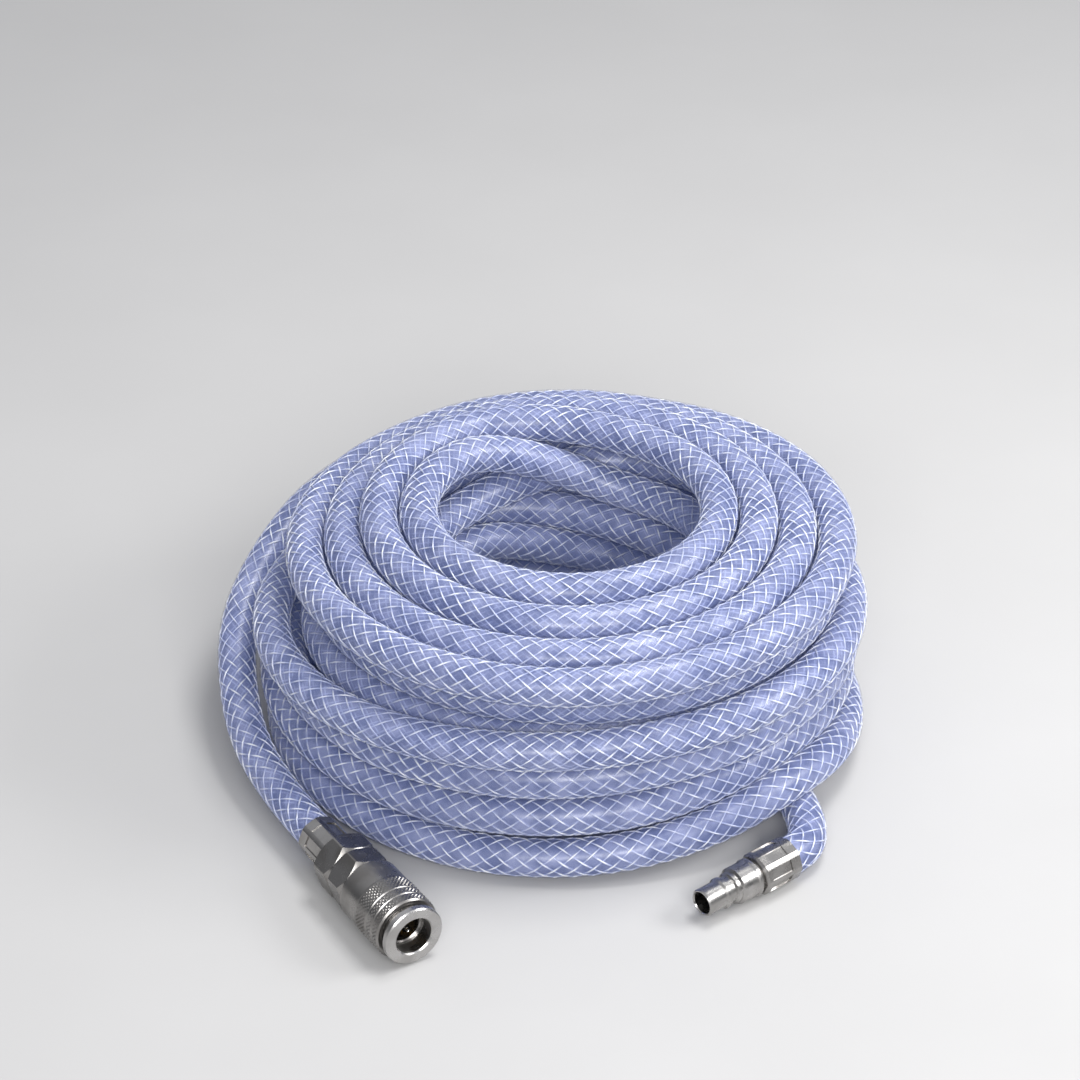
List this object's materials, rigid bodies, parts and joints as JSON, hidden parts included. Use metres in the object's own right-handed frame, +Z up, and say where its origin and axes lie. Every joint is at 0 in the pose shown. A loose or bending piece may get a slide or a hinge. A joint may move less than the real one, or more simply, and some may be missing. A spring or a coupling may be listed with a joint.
{
  "type": "coiled air hose",
  "caption": "Braided translucent air hose in a loose coil, with a one-hand quick coupler on one end and a plug nipple on the other.",
  "frame": {"origin": "on the floor at the coil's axis", "axes": "+Z up along the coil's axis, -Y towards the side where the hose's two ends come out, +X towards the plug's side"},
  "size_m": [0.2427, 0.271, 0.0985],
  "materials": {
    "hose": "translucent lavender-blue PVC over a white textile braid",
    "ferrule": "nickel-plated brass, crimped",
    "coupler_metal": "nickel-plated, satin",
    "sleeve_metal": "nickel-plated, knurled front",
    "plug_metal": "nickel-plated, polished",
    "seal_rubber": "black nitrile",
    "spring_steel": "drawn wire",
    "valve_brass": "turned",
    "ball_steel": "ground"
  },
  "bodies": {
    "root": {"hose_coil": "hose", "hose_coupler_tail": "hose", "hose_plug_tail": "hose", "hose_end_coupler": "hose", "hose_end_plug": "hose", "coupler_ferrule": "ferrule", "plug_ferrule": "ferrule", "nose_ring": "coupler_metal", "coupler_body": "coupler_metal", "hose_adapter": "coupler_metal", "valve_guide": "valve_brass", "plug_seal": "seal_rubber", "adapter_seal": "seal_rubber", "plug_nipple": "plug_metal", "sleeve_spring": "spring_steel", "valve_spring": "spring_steel"},
    "sleeve": {"release_sleeve": "sleeve_metal"},
    "valve": {"valve_poppet": "valve_brass", "poppet_seal": "seal_rubber"},
    "ball_1": {"locking_ball_1": "ball_steel"},
    "ball_2": {"locking_ball_2": "ball_steel"},
    "ball_3": {"locking_ball_3": "ball_steel"},
    "ball_4": {"locking_ball_4": "ball_steel"},
    "ball_5": {"locking_ball_5": "ball_steel"},
    "ball_6": {"locking_ball_6": "ball_steel"}
  },
  "joints": [
    {"name": "sleeve_slide", "type": "slide", "parent": "root", "child": "sleeve", "axis": [0.53, -0.848, 0], "range_m": [0, 0.0023], "deforming": ["sleeve_spring"]},
    {"name": "valve_slide", "type": "slide", "parent": "root", "child": "valve", "axis": [-0.53, 0.848, 0], "range_m": [0, 0.0045], "stiffness_N_per_m": 400, "springref_m": -0.004, "deforming": ["valve_spring"]},
    {"name": "ball_1_slide", "type": "slide", "parent": "root", "child": "ball_1", "axis": [0.848, 0.53, 0], "range_m": [-0.00102, 0]},
    {"name": "ball_2_slide", "type": "slide", "parent": "root", "child": "ball_2", "axis": [0.424, 0.265, 0.866], "range_m": [-0.00102, 0]},
    {"name": "ball_3_slide", "type": "slide", "parent": "root", "child": "ball_3", "axis": [-0.424, -0.265, 0.866], "range_m": [-0.00102, 0]},
    {"name": "ball_4_slide", "type": "slide", "parent": "root", "child": "ball_4", "axis": [-0.848, -0.53, 0], "range_m": [-0.00102, 0]},
    {"name": "ball_5_slide", "type": "slide", "parent": "root", "child": "ball_5", "axis": [-0.424, -0.265, -0.866], "range_m": [-0.00102, 0]},
    {"name": "ball_6_slide", "type": "slide", "parent": "root", "child": "ball_6", "axis": [0.424, 0.265, -0.866], "range_m": [-0.00102, 0]}
  ],
  "couplings": [
    {"joint": "ball_1_slide", "follows": "sleeve_slide", "ratio": -0.43478},
    {"joint": "ball_2_slide", "follows": "sleeve_slide", "ratio": -0.43478},
    {"joint": "ball_3_slide", "follows": "sleeve_slide", "ratio": -0.43478},
    {"joint": "ball_4_slide", "follows": "sleeve_slide", "ratio": -0.43478},
    {"joint": "ball_5_slide", "follows": "sleeve_slide", "ratio": -0.43478},
    {"joint": "ball_6_slide", "follows": "sleeve_slide", "ratio": -0.43478}
  ]
}
